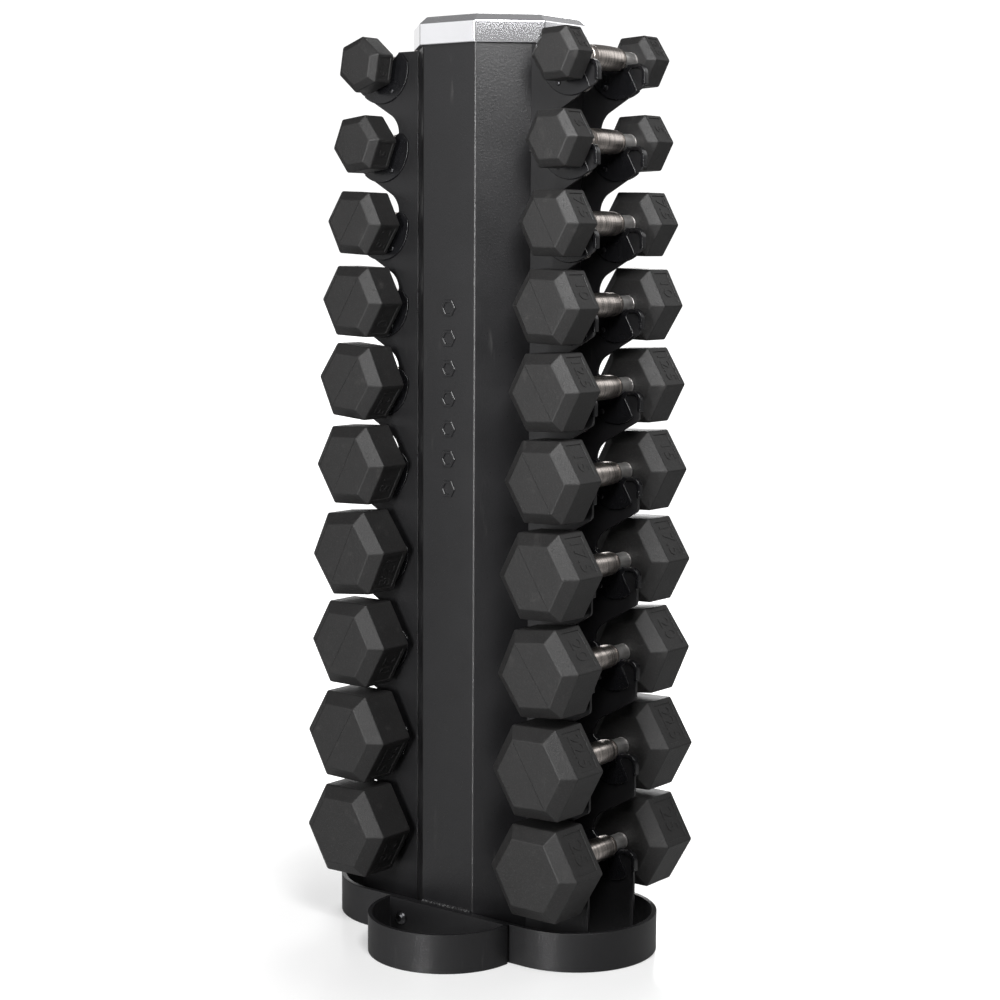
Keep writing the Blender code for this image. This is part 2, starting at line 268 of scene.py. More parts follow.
def fit(piece, finish, body, nodes=(), angle=32, weighted=True):
    """Give a piece its finish, its smooth shading and its place on the frame."""
    begin()
    piece.select_set(True)
    bpy.context.view_layer.objects.active = piece
    bpy.ops.object.shade_smooth_by_angle(angle=radians(angle))
    if weighted:
        apply(piece, "WEIGHTED_NORMAL", keep_sharp=True, weight=80)
    if finish:
        piece.data.materials.clear()
        piece.data.materials.append(finish)
    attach(piece, body)
    if nodes:
        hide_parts(*nodes)
    return piece


# Finishes


class Shade:
    """A shader value that takes part in Python arithmetic."""

    def __init__(self, finish, socket):
        self.finish = finish
        self.socket = socket

    def sum(self, operation, *values):
        return self.finish.node("ShaderNodeMath", {"operation": operation}, dict(enumerate(values)))

    def __add__(self, other):
        return self.sum("ADD", self, other)

    __radd__ = __add__

    def __mul__(self, other):
        return self.sum("MULTIPLY", self, other)

    __rmul__ = __mul__

    def __sub__(self, other):
        return self.sum("SUBTRACT", self, other)

    def __rsub__(self, other):
        return self.sum("SUBTRACT", other, self)

    def above(self, low, high):
        """0 below the low limit, 1 above the high one, and smooth between them."""
        limits = {"Value": self, "From Min": low, "From Max": high}
        return self.finish.node("ShaderNodeMapRange", {"interpolation_type": "SMOOTHSTEP"}, limits)


class Nodes:
    """A node tree that nodes are added to."""

    def __init__(self, owner):
        owner.use_nodes = True
        self.tree = owner.node_tree

    def node(self, kind, settings=None, values=None, output=0):
        """Add any node: first its settings, then the values or links of its sockets."""
        made = self.tree.nodes.new(kind)
        for key, value in (settings or {}).items():
            setattr(made, key, value)
        for socket, value in (values or {}).items():
            if isinstance(value, Shade):
                self.tree.links.new(value.socket, made.inputs[socket])
            else:
                made.inputs[socket].default_value = value
        return Shade(self, made.outputs[output])


class Finish(Nodes):
    """A material made of procedural nodes on a Principled shader."""

    def __init__(self, name, **constants):
        self.material = bpy.data.materials.new(name)
        super().__init__(self.material)
        self.shader = self.tree.nodes["Principled BSDF"]
        for socket, value in constants.items():
            self.shader.inputs[socket.replace("_", " ")].default_value = value
        self.place = self.node("ShaderNodeTexCoord", output="Object")

    def noise(self, size, detail=3.0, stretch=(1, 1, 1), shift=(0, 0, 0)):
        """Noise with features of about that size in metres."""
        moves = {"Vector": self.place, "Scale": stretch, "Location": shift}
        where = self.node("ShaderNodeMapping", None, moves)
        return self.node("ShaderNodeTexNoise", None, {"Vector": where, "Scale": 1 / size, "Detail": detail})

    def mixed(self, share, first, second):
        """A colour between two others."""
        return self.node("ShaderNodeMix", {"data_type": "RGBA"}, {0: share, 6: first, 7: second}, 2)

    def bump(self, height, distance, strength=1.0, under=None):
        values = {"Strength": strength, "Distance": distance, "Height": height}
        if under:
            values["Normal"] = under
        return self.node("ShaderNodeBump", None, values)

    def link(self, **sockets):
        for name, value in sockets.items():
            self.tree.links.new(value.socket, self.shader.inputs[name.replace("_", " ")])
        return self.material


def opaque(colour, share=1.0):
    return (colour[0] * share, colour[1] * share, colour[2] * share, 1.0)


def coat_finish(name, colour, roughness, scuffs):
    """Powder coat: fine orange peel, a soft mottle, and dry scuffs."""
    finish = Finish(name, IOR=1.5)
    peel = finish.noise(0.0011, 2.0)
    mottle = finish.noise(0.06, 4.0)
    streaks = finish.noise(0.012, 6.0, stretch=(1, 1, 0.12))
    scuffed = streaks.above(0.66, 0.8) * finish.noise(0.09, 2.0, shift=(3, 1, 7)).above(0.45, 0.7) * scuffs
    specks = finish.noise(0.0016, 1.0, shift=(5, 2, 1)).above(0.72, 0.8)
    base = finish.mixed(mottle, opaque(colour, 0.8), opaque(colour, 1.25))
    worn = finish.mixed(scuffed, base, opaque((0.11, 0.108, 0.105)))
    grit = finish.noise(0.0026, 2.0, shift=(4, 4, 1))
    relief = finish.bump(grit, 0.0003, 0.5, finish.bump(peel, 0.00025, 0.35))
    shine = mottle * 0.14 + (roughness - 0.07) + scuffed * 0.15 - specks * 0.12
    return finish.link(Base_Color=worn, Roughness=shine, Normal=relief)


def cap_finish(colour):
    """Silver-grey coat with a fine metallic fleck."""
    finish = Finish("cap_silver", Metallic=0.86)
    fleck = finish.noise(0.0007, 1.0)
    cloud = finish.noise(0.05, 3.0)
    base = finish.mixed(cloud, opaque(colour, 0.93), opaque(colour, 1.04))
    flecked = finish.mixed(fleck.above(0.55, 0.7) * 0.2, base, opaque((0.9, 0.9, 0.92)))
    return finish.link(Base_Color=flecked, Roughness=cloud * 0.03 + 0.1,
                       Normal=finish.bump(fleck, 0.00002, 0.1))


def rubber_finish(colour):
    """Moulded rubber: a matte grain, faint flow marks and chalky rubs."""
    finish = Finish("head_rubber", IOR=1.52)
    grain = finish.noise(0.0009, 3.0)
    pores = finish.noise(0.0022, 2.0, shift=(2, 9, 4)).above(0.62, 0.75)
    flow = finish.noise(0.03, 5.0, stretch=(1, 0.4, 1))
    rubs = finish.noise(0.02, 7.0, shift=(8, 3, 5)).above(0.6, 0.85)
    dust = finish.noise(0.0017, 2.0, shift=(6, 6, 2)).above(0.52, 0.7)
    clean = finish.mixed(flow, opaque(colour, 0.78), opaque(colour, 1.25))
    base = finish.mixed(dust * 0.55, clean, opaque(colour, 2.6))
    rubbed = finish.mixed(rubs * 0.35, base, opaque((0.085, 0.082, 0.078)))
    grit = finish.noise(0.0030, 2.0, shift=(1, 7, 3))
    grained = finish.bump(grit, 0.0005, 0.6, finish.bump(grain, 0.0003, 0.5))
    relief = finish.bump(pores, -0.00025, 0.7, grained)
    return finish.link(Base_Color=rubbed, Roughness=flow * 0.12 + 0.5 + rubs * 0.12, Normal=relief)


def steel_finish(name, colour, roughness, turning, grime=0.2):
    """Turned steel, with fine marks round it and grime between them."""
    finish = Finish(name, Metallic=1.0)
    rings = finish.noise(0.004, 3.0, stretch=(0.15, turning, 0.15))
    film = finish.noise(0.012, 4.0)
    clean = finish.mixed(film, opaque(colour, 0.82), opaque(colour, 1.1))
    base = finish.mixed(rings.above(0.42, 0.66) * grime, clean, opaque(colour, 0.25))
    return finish.link(Base_Color=base, Roughness=film * 0.16 + rings * 0.1 + (roughness - 0.12),
                       Normal=finish.bump(rings, 0.00006, 0.25))


def plastic_finish(colour):
    """Moulded plastic, satin with a faint grain."""
    finish = Finish("liner_plastic", IOR=1.46)
    grain = finish.noise(0.0012, 2.0)
    cloud = finish.noise(0.02, 3.0)
    base = finish.mixed(cloud, opaque(colour, 0.8), opaque(colour, 1.3))
    return finish.link(Base_Color=base, Roughness=cloud * 0.12 + 0.2, Normal=finish.bump(grain, 0.0001, 0.3))


def finishes(colours):
    """All the finishes, made once and kept by name."""
    found = {m.name: m for m in bpy.data.materials}
    makers = {
        "post_coat": lambda: coat_finish("post_coat", colours.coat, 0.35, 0.35),
        "plate_coat": lambda: coat_finish("plate_coat", colours.coat, 0.45, 0.5),
        "base_coat": lambda: coat_finish("base_coat", colours.coat, 0.46, 0.7),
        "cap_silver": lambda: cap_finish(colours.cap),
        "head_rubber": lambda: rubber_finish(colours.rubber),
        "neck_chrome": lambda: steel_finish("neck_chrome", colours.chrome, 0.42, 6),
        "grip_steel": lambda: steel_finish("grip_steel", colours.grip, 0.3, 3, 0.75),
        "black_zinc": lambda: steel_finish("black_zinc", colours.zinc, 0.34, 1),
        "liner_plastic": lambda: plastic_finish(colours.liner),
    }
    return {name: found.get(name) or make() for name, make in makers.items()}


# Sizes and colours that a user would change


class RackSizes(bpy.types.PropertyGroup):
    """Sizes of the detail that is added to the frame."""

    post_bend: bpy.props.FloatProperty(
        name="Post Bend", description="Outer radius of the post's eight folds", default=0.005,
        min=0.001, max=0.015, unit="LENGTH")
    sheet: bpy.props.FloatProperty(
        name="Post Sheet", description="Thickness of the post's sheet", default=0.0025,
        min=0.001, max=0.005, unit="LENGTH")
    edge: bpy.props.FloatProperty(
        name="Coated Edge", description="Rounding of the coated plates' and bars' edges", default=0.0007,
        min=0.0002, max=0.0015, unit="LENGTH")
    liner_flange: bpy.props.FloatProperty(
        name="Liner Flange", description="Thickness of a saddle liner on each face of its plate",
        default=0.0022, min=0.001, max=0.003, unit="LENGTH")
    head_edge: bpy.props.FloatProperty(
        name="Head Edge", description="Rounding of the rubber heads' edges", default=0.0014,
        min=0.0005, max=0.003, unit="LENGTH")
    knurl: bpy.props.FloatProperty(
        name="Knurl Depth", description="Depth of the grip's knurl", default=0.0005,
        min=0.0001, max=0.0008, unit="LENGTH")
    mark: bpy.props.FloatProperty(
        name="Mark Height", description="How far the plain hexagons stand out of the post", default=0.0016,
        min=0.0003, max=0.002, unit="LENGTH")


def colour_choice(name, description, default):
    return bpy.props.FloatVectorProperty(name=name, description=description, default=default, size=3,
                                         min=0, max=1, subtype="COLOR")


class RackColours(bpy.types.PropertyGroup):
    """Colours of the finishes."""

    coat: colour_choice("Coat", "Powder coat of the post, plates and bars", (0.0085, 0.0083, 0.0092))
    cap: colour_choice("Cap", "Silver-grey of the cap", (0.86, 0.86, 0.885))
    rubber: colour_choice("Rubber", "Rubber of the heads", (0.010, 0.0096, 0.0096))
    chrome: colour_choice("Chrome", "Polished necks of the handles", (0.95, 0.93, 0.91))
    grip: colour_choice("Grip", "Knurled grips of the handles", (0.58, 0.53, 0.495))
    zinc: colour_choice("Zinc", "Bolts, nuts and screws", (0.1, 0.1, 0.105))
    liner: colour_choice("Liner", "Plastic of the saddle liners", (0.007, 0.007, 0.008))
    floor: colour_choice("Floor", "The pale floor", (0.9, 0.9, 0.9))


# Operators, one for each piece or group of like pieces


class RACK_OT_post(bpy.types.Operator):
    """Fold the post from sheet, with a column of plain raised hexagons on its front."""

    bl_idname = "rack.post"
    bl_label = "Post"

    def execute(self, context):
        sizes = context.scene.rack_sizes
        coat = finishes(context.scene.rack_colours)["post_coat"]
        corner = POST_APOTHEM / cos(pi / 8)
        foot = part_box("post_shell")[0].z
        post = turned("post", [(foot, corner), (POST_TOP, corner)], 8)
        with editing(post):
            choose(post, "EDGE", lambda e: abs(e.verts[0].co.z - e.verts[1].co.z) > 0.1)
            bpy.ops.mesh.bevel(offset=sizes.post_bend * tan(pi / 8), segments=5, affect="EDGES")
            choose(post, "FACE", lambda f: abs(f.normal.z) > 0.9)
            bpy.ops.mesh.delete(type="ONLY_FACE")
        apply(post, "SOLIDIFY", thickness=sizes.sheet, offset=-1, use_even_offset=True)
        fit(post, coat, "rack", ["post_shell"], weighted=False)
        self.add_marks(coat, sizes.mark)
        return {"FINISHED"}

    @staticmethod
    def add_marks(coat, height):
        """Seven raised hexagons, each a rim round a sunken middle."""
        count, first, pitch, radius, rim = 7, 0.808, 0.0373, 0.0115, 0.0034
        seat, slope = -0.0004, 0.0006
        shoulder = height * 0.6
        profile = [(seat, radius), (shoulder, radius), (height, radius - slope), (height, radius - rim),
                   (shoulder, radius - rim - slope), (seat / 2, radius - rim - slope)]
        mark = turned("mark", profile, 6)
        face = Matrix.Translation((0, -POST_APOTHEM, 0)) @ Matrix.Rotation(pi / 2, 4, "X")
        marks = [copied(mark, f"mark_{index}", Matrix.Translation((0, 0, first - pitch * index)) @ face)
                 for index in range(count)]
        discard(mark)
        fit(joined("post_marks", marks), coat, "rack")


class RACK_OT_cap(bpy.types.Operator):
    """Turn the eight-sided cap, hollow below, with its top edge chamfered."""

    bl_idname = "rack.cap"
    bl_label = "Cap"

    def execute(self, context):
        silver = finishes(context.scene.rack_colours)["cap_silver"]
        wall, rise, inset = 0.004, 0.0085, 0.0095
        corner = 1 / cos(pi / 8)
        outside = CAP_APOTHEM * corner
        inside = (CAP_APOTHEM - wall) * corner
        ceiling = POST_TOP + GAP
        profile = [(ceiling, inside), (CAP_BOTTOM, inside), (CAP_BOTTOM, outside), (CAP_TOP - rise, outside),
                   (CAP_TOP, (CAP_APOTHEM - inset) * corner)]
        cap = turned("cap", profile, 8)
        softened(cap, 0.0012, 3)
        fit(cap, silver, "rack", ["top_cap"])
        return {"FINISHED"}


def bent_bar(name, points, bar, edge):
    """Flat bar on edge, bent to a closed outline."""
    made = drawn(name, [(x, y, 0) for x, y in points])
    with editing(made):
        bpy.ops.mesh.select_mode(type="FACE")
        bpy.ops.mesh.select_all(action="SELECT")
        bpy.ops.mesh.inset(thickness=bar, depth=0, use_even_offset=True)
        bpy.ops.mesh.delete(type="FACE")
    thickened(made, (0, 0, BAR_HEIGHT))
    softened(made, edge, 3, 40)
    return made


def arc(centre, radius, start, end, steps):
    """Points on an arc from one angle to another."""
    angles = [start + (end - start) * step / steps for step in range(steps + 1)]
    return [(centre[0] + radius * cos(angle), centre[1] + radius * sin(angle)) for angle in angles]


class RACK_OT_base(bpy.types.Operator):
    """Bend the long base loop and the two hoops from flat bar."""

    bl_idname = "rack.base"
    bl_label = "Base"

    def execute(self, context):
        sizes = context.scene.rack_sizes
        coat = finishes(context.scene.rack_colours)["base_coat"]
        steps = 40
        end = LOOP_LENGTH / 2 - LOOP_OUTSIDE
        outline = arc((end, 0), LOOP_OUTSIDE, -pi / 2, pi / 2, steps)
        outline += arc((-end, 0), LOOP_OUTSIDE, pi / 2, 3 * pi / 2, steps)
        loop = bent_bar("base_bar", outline, LOOP_BAR, sizes.edge)
        fit(loop, coat, "rack", ["base_loop"])
        for facing, side in ENDS.items():
            low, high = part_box(f"{facing}_hoop")
            middle = (low.x + high.x) / 2
            radius = (high.x - low.x) / 2
            depth = high.y - low.y
            bow = arc((0, radius - depth), radius, pi, 2 * pi, steps)
            bend = min(HOOP_CORNER, 0.95 * (depth - radius))
            corner = arc((radius - bend, -bend), bend, 0, pi / 2, 6)
            other = [(-x, y) for x, y in reversed(corner)]
            hoop = bent_bar(f"hoop_{facing}", bow + corner + other, HOOP_BAR, sizes.edge)
            back = min(abs(low.y), abs(high.y))
            turn = Matrix.Rotation(0 if side < 0 else pi, 4, "Z")
            placed = copied(hoop, f"hoop_bar_{facing}", Matrix.Translation((middle, side * back, 0)) @ turn)
            discard(hoop)
            fit(placed, coat, "rack", [f"{facing}_hoop"])
        return {"FINISHED"}


class RACK_OT_bolts(bpy.types.Operator):
    """Make the button-head bolts with hexagon sockets, and their nuts."""

    bl_idname = "rack.bolts"
    bl_label = "Bolts and Nuts"

    def execute(self, context):
        zinc = finishes(context.scene.rack_colours)["black_zinc"]
        for facing, side in ENDS.items():
            for hand in SIDES:
                self.add_bolt(f"{facing}_{hand}", side, zinc)
        return {"FINISHED"}

    @staticmethod
    def add_bolt(name, side, zinc):
        low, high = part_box(f"bolt_{name}")
        middle = (low + high) / 2
        head = (high.x - low.x) / 2
        length = high.y - low.y
        shank, head_height = 0.005, 0.0055
        under = length - head_height
        tip_chamfer = 0.0008
        profile = [(0, shank - tip_chamfer), (tip_chamfer, shank), (under, shank), (under, head),
                   (under + 0.0012, head), (under + 0.0026, head * 0.93), (under + 0.0041, head * 0.76),
                   (length, head * 0.5)]
        bolt = turned("bolt", profile, 32)
        past, socket_depth, socket_radius = 0.001, 0.0028, 0.0033
        socket = turned("socket", [(length - socket_depth, socket_radius), (length + past, socket_radius)], 6)
        carved(bolt, socket)
        tip = low.y if side > 0 else high.y
        lay = Matrix.Translation((middle.x, tip, middle.z)) @ Matrix.Rotation(-side * pi / 2, 4, "X")
        placed = copied(bolt, f"hoop_bolt_{name}", lay)
        discard(bolt)
        fit(placed, zinc, "rack", [f"bolt_{name}"])
        low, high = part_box(f"nut_{name}")
        width, height = (high.x - low.x) / 2, high.y - low.y
        chamfer, narrow = 0.0011, width * 0.9
        profile = [(0, narrow), (chamfer, width), (height - chamfer, width), (height, narrow)]
        nut = turned("nut", profile, 6)
        bored = shank + 0.0002
        bore = turned("bore", [(-past, bored), (height + past, bored)], 24)
        carved(nut, bore)
        lay = Matrix.Translation((middle.x, (low.y + high.y) / 2 - side * height / 2, middle.z))
        placed = copied(nut, f"hoop_nut_{name}", lay @ Matrix.Rotation(-side * pi / 2, 4, "X"))
        discard(nut)
        fit(placed, zinc, "rack", [f"nut_{name}"])


def underside(offset):
    """Height of a hook's underside above the axis of the handle below."""
    return UNDERSIDE_RISE + offset * tan(UNDERSIDE_SLOPE)


def bowl(radius, lip, slide_start, steps):
    """A saddle's bowl about the handle's axis, from its lip round to where the slide leaves at a tangent."""
    first = atan2(lip, sqrt(radius ** 2 - lip ** 2))
    start = Vector(slide_start)
    last = atan2(start.y, start.x) + acos(radius / start.length) - 2 * pi
    return arc((0, 0), radius, first, last, steps)


class RACK_OT_plates(bpy.types.Operator):
    """Cut one saddle plate from sheet, mitre it to the post and copy it to all four places."""

    bl_idname = "rack.plates"
    bl_label = "Saddle Plates"

    def execute(self, context):
        sizes = context.scene.rack_sizes
        coat = finishes(context.scene.rack_colours)["plate_coat"]
        lip, slide = -0.0082, 0.0149
        lip_round, tip_round, throat_round = 0.011, 0.006, 0.0139
        wall = HANDLE_X - THROAT
        corners = [(PLATE_INNER, PLATE_FOOT), (PLATE_END, PLATE_FOOT)]
        lips, tips, throats = [], [], []
        for tier in reversed(range(TIERS)):
            height = HEIGHTS[tier]
            lips.append((PLATE_END, height + lip))
            corners.append(lips[-1])
            corners += [(HANDLE_X + x, height + z) for x, z in bowl(PLATE_SADDLE, lip, (-THROAT, slide), 14)]
            if tier:
                corners.append((wall, height + slide))
                throats.append((wall, height + underside(-THROAT)))
                tips.append((PLATE_END, height + underside(REACH)))
                corners += [throats[-1], tips[-1]]
        corners += [(wall, PLATE_TOP), (PLATE_INNER, PLATE_TOP)]
        face = -PLATE_FACE
        plate = drawn("plate", [(x, face, z) for x, z in corners])
        half = (pi / 2 + UNDERSIDE_SLOPE) / 2
        corner_arcs = ((lips, lip_round, 8), (tips, tip_round / tan(half), 5), (throats, throat_round, 10))
        for places, reach, segments in corner_arcs:
            rounded_corners(plate, reach, lambda v: any(
                abs(v.co.x - x) < 1e-5 and abs(v.co.z - z) < 1e-5 for x, z in places), segments)
        thickened(plate, (0, PLATE, 0))
        with editing(plate):
            choose(plate, "VERT", lambda v: v.co.x < PLATE_INNER + 0.001 and v.co.y > face + PLATE / 2)
            bpy.ops.transform.translate(value=(PLATE, 0, 0))
        softened(plate, sizes.edge, 2, 35)
        for hand, across in SIDES.items():
            for facing, along in ENDS.items():
                flip = Matrix.Diagonal((across, -along, 1, 1))
                placed = copied(plate, f"plate_{hand}_{facing}", flip)
                fit(placed, coat, "rack", [f"saddle_plate_{hand}_{facing}"])
        discard(plate)
        return {"FINISHED"}


class RACK_OT_liners(bpy.types.Operator):
    """Mould one saddle liner with its two screws, and lay a copy over each of the forty hooks."""

    bl_idname = "rack.liners"
    bl_label = "Saddle Liners"

    @staticmethod
    def outline():
        """The liner seen along the handle: its running surface, rim, straight edge and round back."""
        lip, slide, top = -0.005, 0.0148, 0.0138
        run = bowl(SADDLE, lip, (-THROAT, slide), 14)
        reach, arch_radius, lobe_foot, rim = 0.0355, 0.012, -0.030, 0.0052
        arch_centre = (reach - arch_radius, lip - arch_radius)
        arch = arc(arch_centre, arch_radius, 0, pi / 2, 7)
        under = arc(arch_centre, arch_radius - rim, pi / 2, 0, 7)
        toe = (0.0228, -0.034)
        edge = [(0.0150, lip - rim), (0.0118, -0.0145), toe]
        centre, radius = (-0.004, -0.002), 0.0455
        start = atan2(toe[1] - centre[1], toe[0] - centre[0])
        back = arc(centre, radius, start - 0.04, -pi - 0.12, 22)
        crown = [(-0.040, top), (-THROAT + 0.0006, top)]
        return [(reach, lobe_foot)] + arch + run + crown[::-1] + back[::-1] + edge[::-1] + under + [
            (reach - rim, lobe_foot)]

    @staticmethod
    def screw():
        """A small pan-head screw with a cross recess."""
        head = turned("screw", [(-0.001, 0.0032), (0.0006, 0.0032), (0.0013, 0.0027), (0.0017, 0.0016)], 20)
        for turn in (0, pi / 2):
            begin()
            bpy.ops.mesh.primitive_cube_add(size=1, location=(0, 0, 0.0016), rotation=(0, 0, turn),
                                            scale=(0.0032, 0.0006, 0.0014))
            carved(head, just_added("recess"))
        return head

    def execute(self, context):
        sizes = context.scene.rack_sizes
        kept = finishes(context.scene.rack_colours)
        width = PLATE + 2 * sizes.liner_flange
        outer = PLATE_FACE + sizes.liner_flange
        liner = drawn("liner", [(x, -outer, z) for x, z in self.outline()])
        thickened(liner, (0, width, 0))
        softened(liner, 0.0012, 3, 35)
        screw = self.screw()
        inwards, below = 0.022, 0.032
        inner_face = Matrix.Translation((-inwards, -outer + width, -below)) @ Matrix.Rotation(-pi / 2, 4, "X")
        outer_face = Matrix.Translation((-inwards, -outer, -below)) @ Matrix.Rotation(pi / 2, 4, "X")
        pair = [copied(screw, "screw_inner", inner_face), copied(screw, "screw_outer", outer_face)]
        screws = joined("screws", pair)
        for hand, across in SIDES.items():
            for facing, along in ENDS.items():
                flip = Matrix.Diagonal((across, -along, 1, 1))
                places = [flip @ Matrix.Translation((HANDLE_X, 0, height)) for height in HEIGHTS]
                liners = [copied(liner, f"liner_{tier}", place) for tier, place in enumerate(places)]
                fit(joined(f"liners_{hand}_{facing}", liners), kept["liner_plastic"], "rack")
                held = [copied(screws, f"screw_{tier}", place) for tier, place in enumerate(places)]
                fit(joined(f"liner_screws_{hand}_{facing}", held), kept["black_zinc"], "rack")
        discard(liner, screw, screws)
        return {"FINISHED"}


class RACK_OT_welds(bpy.types.Operator):
    """Lay the weld beads along the post's foot and in the grooves beside the plates."""

    bl_idname = "rack.welds"
    bl_label = "Welds"

    @staticmethod
    def bead(name, length, radius):
        """A rippled bead along Z, drawn in at both its ends."""
        ripple = 0.0017
        count = int(length / ripple)
        profile = [(0, radius * 0.35)]
        for step in range(count):
            swell = 1 + 0.1 * sin(step * 2.4) + 0.06 * sin(step * 5.1)
            low = step * ripple
            profile += [(low + ripple * 0.3, radius * 0.86 * swell), (low + ripple * 0.75, radius * swell)]
        profile.append((length, radius * 0.35))
        return turned(name, profile, 14)

    def execute(self, context):
        coat = finishes(context.scene.rack_colours)["base_coat"]
        beads = []
        face = 2 * POST_APOTHEM * tan(pi / 8)
        run, proud = face * 0.98, 0.0004
        long_bead = self.bead("long_bead", run, 0.0029)
        for side in (-1, 1):
            lie = Matrix.Translation((-run / 2, side * (POST_APOTHEM + proud), BAR_HEIGHT + proud))
            beads.append(copied(long_bead, "foot_bead", lie @ Matrix.Rotation(pi / 2, 4, "Y")))
        stitch_length = 0.028
        stitch = self.bead("stitch", stitch_length, 0.0019)
        for across in SIDES.values():
            for along in ENDS.values():
                for height in HEIGHTS[1::2]:
                    foot = height - stitch_length / 2
                    lie = Matrix.Translation((across * PLATE_INNER, along * (PLATE_FACE + 0.0002), foot))
                    beads.append(copied(stitch, "stitch_bead", lie))
        discard(long_bead, stitch)
        fit(joined("weld_beads", beads), coat, "rack", weighted=False)
        return {"FINISHED"}


class RACK_OT_dumbbells(bpy.types.Operator):
    """Turn the handles, mould the heads with their weight numbers, and lay a pair on every tier."""

    bl_idname = "rack.dumbbells"
    bl_label = "Dumbbells"

    @staticmethod
    def handle(knurl):
        """The handle along Z: a knurled, bulged grip between ring grooves, collars and polished necks."""
        grip, bulge, pitch = 0.0270, 0.0008, 0.0015
        count = int(2 * grip / pitch)
        shoulder, waist = HEAD_START - 0.0012, 0.0108
        ends = [(HEAD_START + 0.004, NECK_RADIUS), (shoulder, NECK_RADIUS), (shoulder, waist),
                (NECK_START, waist), (0.0338, 0.0126), (0.0332, 0.0134), (0.0300, 0.0140), (0.0294, 0.0124),
                (0.0286, 0.0122), (0.0279, 0.0141), (0.0272, 0.0145)]
        rings = [(-z, r) for z, r in ends]
        for step in range(count + 1):
            height = -grip + 2 * grip * step / count
            rings.append((height, 0.0154 - bulge * (height / grip) ** 2))
        rings += list(reversed(ends))
        sides = 60
        piece = turned("handle", rings, sides)

        def raised(vertex):
            if abs(vertex.co.z) > grip - pitch * 0.6:
                return False
            around = round(atan2(vertex.co.y, vertex.co.x) / (2 * pi / sides) - 0.5)
            along = round((vertex.co.z + grip) / (2 * grip / count))
            return (around + along) % 2 == 0

        with editing(piece):
            choose(piece, "VERT", raised)
            bpy.ops.transform.shrink_fatten(value=-knurl)
        return piece

    @staticmethod
    def head(tier, length, edge, sign):
        """One head beyond the handle along Z, with a number panel and, on most tiers, a mould line."""
        width = HEAD_WIDTHS[tier]
        corner = 2 / sqrt(3)
        radius = width / 2 * corner
        outer = length / 2
        outer_depth, outer_inset = 0.12 * width, 0.135 * width
        inner_depth, inner_inset = 0.11 * width, 0.155 * width
        profile = [(HEAD_START, radius - inner_inset * corner), (HEAD_START + inner_depth, radius),
                   (outer - outer_depth, radius), (outer, radius - outer_inset * corner)]
        piece = turned(f"head_{tier}", profile, 6)
        softened(piece, edge, 3)
        if tier in LINED_TIERS:
            line_length, line_width = width * 0.8, 0.0009
            begin()
            bpy.ops.mesh.primitive_cube_add(size=1, location=(0, 0, outer), rotation=(0, 0, -pi / 3),
                                            scale=(line_length, line_width, line_width))
            carved(piece, just_added("mould_line"))
        if sign < 0:
            turned_over = copied(piece, f"head_{tier}_front", Matrix.Rotation(pi, 4, "X"))
            discard(piece)
            piece = turned_over
        low, high = HEAD_START + inner_depth, outer - outer_depth
        depth, middle = high - low, sign * (low + high) / 2
        normal = Vector((cos(pi / 6), -sin(pi / 6), 0))
        along = Vector((sin(pi / 6), cos(pi / 6), 0))
        face = Matrix((
            (along.x, 0, normal.x, normal.x * width / 2),
            (along.y, 0, normal.y, normal.y * width / 2),
            (0, 1, 0, middle),
            (0, 0, 0, 1)))
        sink = 0.0011
        begin()
        panel_length, panel_height = radius * 0.8, depth * 0.74
        bpy.ops.mesh.primitive_cube_add(size=1, scale=(panel_length, panel_height, 2 * sink))
        panel = just_added("panel")
        softened(panel, 0.0005, 1)
        panel.data.transform(face)
        carved(piece, panel)
        begin()
        bpy.ops.object.text_add()
        text = bpy.context.object
        text.data.body = WEIGHTS[tier]
        text.data.align_x = "CENTER"
        text.data.align_y = "CENTER"
        text.data.size = 1.0
        text.data.extrude = 0.01
        text.data.resolution_u = 3
        bpy.ops.object.convert(target="MESH")
        number = just_added("number")
        size = number.dimensions
        across, tall = panel_length * 0.8, panel_height * 0.62
        share = min(across / size.x, tall / size.y)
        tall_share = min(tall / size.y, share * 1.5)
        relief = 0.06
        scaled = Matrix.Diagonal((share, tall_share, relief, 1))
        number.data.transform(face @ Matrix.Translation((0, 0, -sink)) @ scaled)
        return joined(f"head_{tier}_{sign}", [piece, number])

    def execute(self, context):
        sizes = context.scene.rack_sizes
        kept = finishes(context.scene.rack_colours)
        handle = self.handle(sizes.knurl)
        handle.data.materials.append(kept["neck_chrome"])
        handle.data.materials.append(kept["grip_steel"])
        for polygon in handle.data.polygons:
            polygon.material_index = int(abs(polygon.center.z) < NECK_START)
        for tier in range(TIERS):
            low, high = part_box(f"dumbbell_right_{tier + 1:02d}")
            length = high.y - low.y
            pair = [self.head(tier, length, sizes.head_edge, sign) for sign in (-1, 1)]
            heads = joined(f"heads_{tier}", pair)
            for hand, across in SIDES.items():
                node = f"dumbbell_{hand}_{tier + 1:02d}"
                panel_turn = 0 if across > 0 else -60
                place = Matrix.Translation((across * HANDLE_X, SET_DOWN_SHIFT, HEIGHTS[tier]))
                lay = Matrix.Rotation(-pi / 2, 4, "X")
                rolled = place @ Matrix.Rotation(-radians(ROLLS[hand][tier] + panel_turn), 4, "Y") @ lay
                placed = copied(heads, f"heads_{hand}_{tier + 1:02d}", rolled)
                fit(placed, kept["head_rubber"], node, [node], angle=24)
                placed = copied(handle, f"handle_{hand}_{tier + 1:02d}", rolled)
                fit(placed, None, node, [node], angle=14, weighted=False)
            discard(heads)
        discard(handle)
        return {"FINISHED"}


